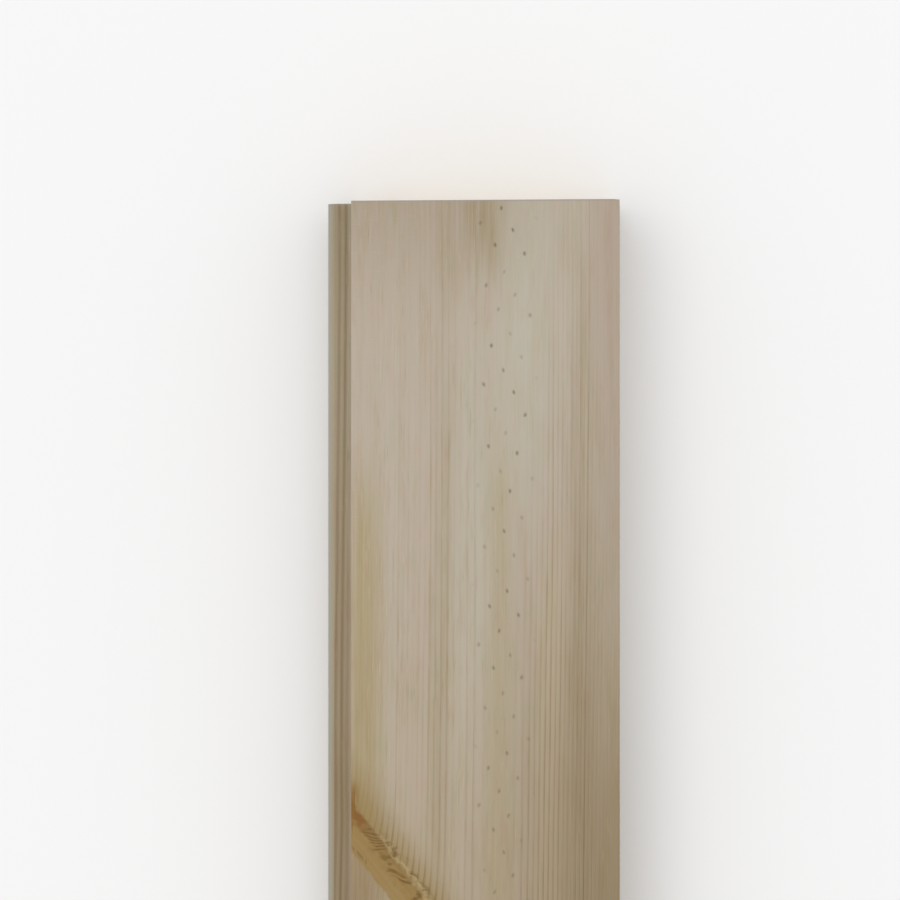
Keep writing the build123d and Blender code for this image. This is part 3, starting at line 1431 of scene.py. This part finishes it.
    def build(self) -> bpy.types.Object:
        """Makes the finished board.

        Returns:
            The board's object, at the origin, with a plain mesh.
        """
        material = self.finish.material(self.sizes)
        cage = self.cage()
        board = bpy.data.objects.new("planed_board", cage)
        bpy.context.collection.objects.link(board)
        modifier = board.modifiers.new("planed_relief", "NODES")
        modifier.node_group = self.relief_tree(material)
        depths = self.depths()
        for socket in modifier.node_group.interface.items_tree:
            if socket.name in depths:
                modifier[socket.identifier] = depths[socket.name]
        depsgraph = bpy.context.evaluated_depsgraph_get()
        shaped = bpy.data.meshes.new_from_object(board.evaluated_get(depsgraph))
        board.modifiers.clear()
        board.data = shaped
        shaped.name = "planed_board"
        bpy.data.meshes.remove(cage)
        shaped.polygons.foreach_set("use_smooth", [True] * len(shaped.polygons))
        shaped.set_sharp_from_angle(angle=math.radians(self.sharp_angle))
        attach(board, "root")
        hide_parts(BOARD_NODE)
        return board


@dataclass(frozen=True)
class Studio:
    """The plain pale floor, the soft light and the camera that looks straight down on the face."""

    face_height: float
    picture: float = 900.0
    pixels_per_mm: float = 2.445
    shoulder_pixel: float = 351.0
    end_pixel: float = 198.8
    camera_distance: float = 1500.0
    sensor: float = 36.0
    nearest_seen: float = 10.0
    farthest_seen: float = 50000.0
    floor_size: float = 12000.0
    sky_level: float = 0.8
    sun_level: float = 0.66
    sun_softness: float = 50.0
    sun_way: tuple[float, float, float] = (0.3, -0.2, -1.0)
    floor_tone: float = 0.94

    def floor(self) -> bpy.types.Object:
        """Lays the floor.

        Returns:
            The floor's object.
        """
        half = self.floor_size / 2 * MM
        mesh = bpy.data.meshes.new("studio_floor")
        corners = [(-half, -half, 0), (half, -half, 0), (half, half, 0), (-half, half, 0)]
        mesh.from_pydata(corners, [], [(0, 1, 2, 3)])
        floor = bpy.data.objects.new("studio_floor", mesh)
        bpy.context.collection.objects.link(floor)
        material = bpy.data.materials.new("pale_floor")
        material.use_nodes = True
        material.node_tree.nodes.clear()
        graph = Graph(material.node_tree)
        tone = (self.floor_tone,) * 3
        diffuse = graph.node("ShaderNodeBsdfDiffuse", {}, {"Color": tone, "Roughness": 0.0})
        graph.node("ShaderNodeOutputMaterial", {}, {"Surface": graph.field(diffuse)})
        mesh.materials.append(material)
        return floor

    def light(self) -> None:
        """Sets an even sky, white where it is seen, and one broad soft lamp."""
        world = bpy.data.worlds.new("studio_sky")
        bpy.context.scene.world = world
        world.use_nodes = True
        world.node_tree.nodes.clear()
        graph = Graph(world.node_tree)
        path = graph.node("ShaderNodeLightPath")
        seen = graph.larger(graph.field(path, "Is Camera Ray"), graph.field(path, "Is Glossy Ray"))
        seen = graph.larger(seen, graph.field(path, "Is Transmission Ray"))
        level = seen * (1.0 - self.sky_level) + self.sky_level
        sky = graph.node("ShaderNodeBackground", {}, {"Color": (1.0, 1.0, 1.0), "Strength": level})
        graph.node("ShaderNodeOutputWorld", {}, {"Surface": graph.field(sky)})
        lamp = bpy.data.lights.new("soft_lamp", "SUN")
        lamp.energy = self.sun_level
        lamp.angle = math.radians(self.sun_softness)
        sun = bpy.data.objects.new("soft_lamp", lamp)
        sun.rotation_euler = Vector(self.sun_way).to_track_quat("-Z", "Y").to_euler()
        bpy.context.collection.objects.link(sun)

    def camera(self, board: BoardSizes) -> bpy.types.Object:
        """Sets the camera above the face, with the sawn end near the top of the picture.

        Args:
            board: The board's sizes.

        Returns:
            The camera.
        """
        middle = self.picture / 2
        across = board.shoulder + (middle - self.shoulder_pixel) / self.pixels_per_mm
        along = board.half_length - (middle - self.end_pixel) / self.pixels_per_mm
        lens = bpy.data.cameras.new("above_the_face")
        lens.sensor_width = self.sensor
        lens.lens = self.sensor * self.camera_distance * self.pixels_per_mm / self.picture
        lens.clip_start = self.nearest_seen * MM
        lens.clip_end = self.farthest_seen * MM
        camera = bpy.data.objects.new("above_the_face", lens)
        camera.location = Vector((across, along, self.face_height + self.camera_distance)) * MM
        bpy.context.collection.objects.link(camera)
        bpy.context.scene.camera = camera
        return camera


def main() -> None:
    """Builds the board and the studio round it."""
    bpy.context.scene.view_settings.view_transform = "Standard"
    sizes = BoardSizes.from_frame()
    board = Floorboard(sizes, PlanedPine()).build()
    log.info("%s: %d faces", board.name, len(board.data.polygons))
    studio = Studio(face_height=sizes.thickness)
    studio.floor()
    studio.light()
    studio.camera(sizes)


if __name__ == "__main__":
    main()
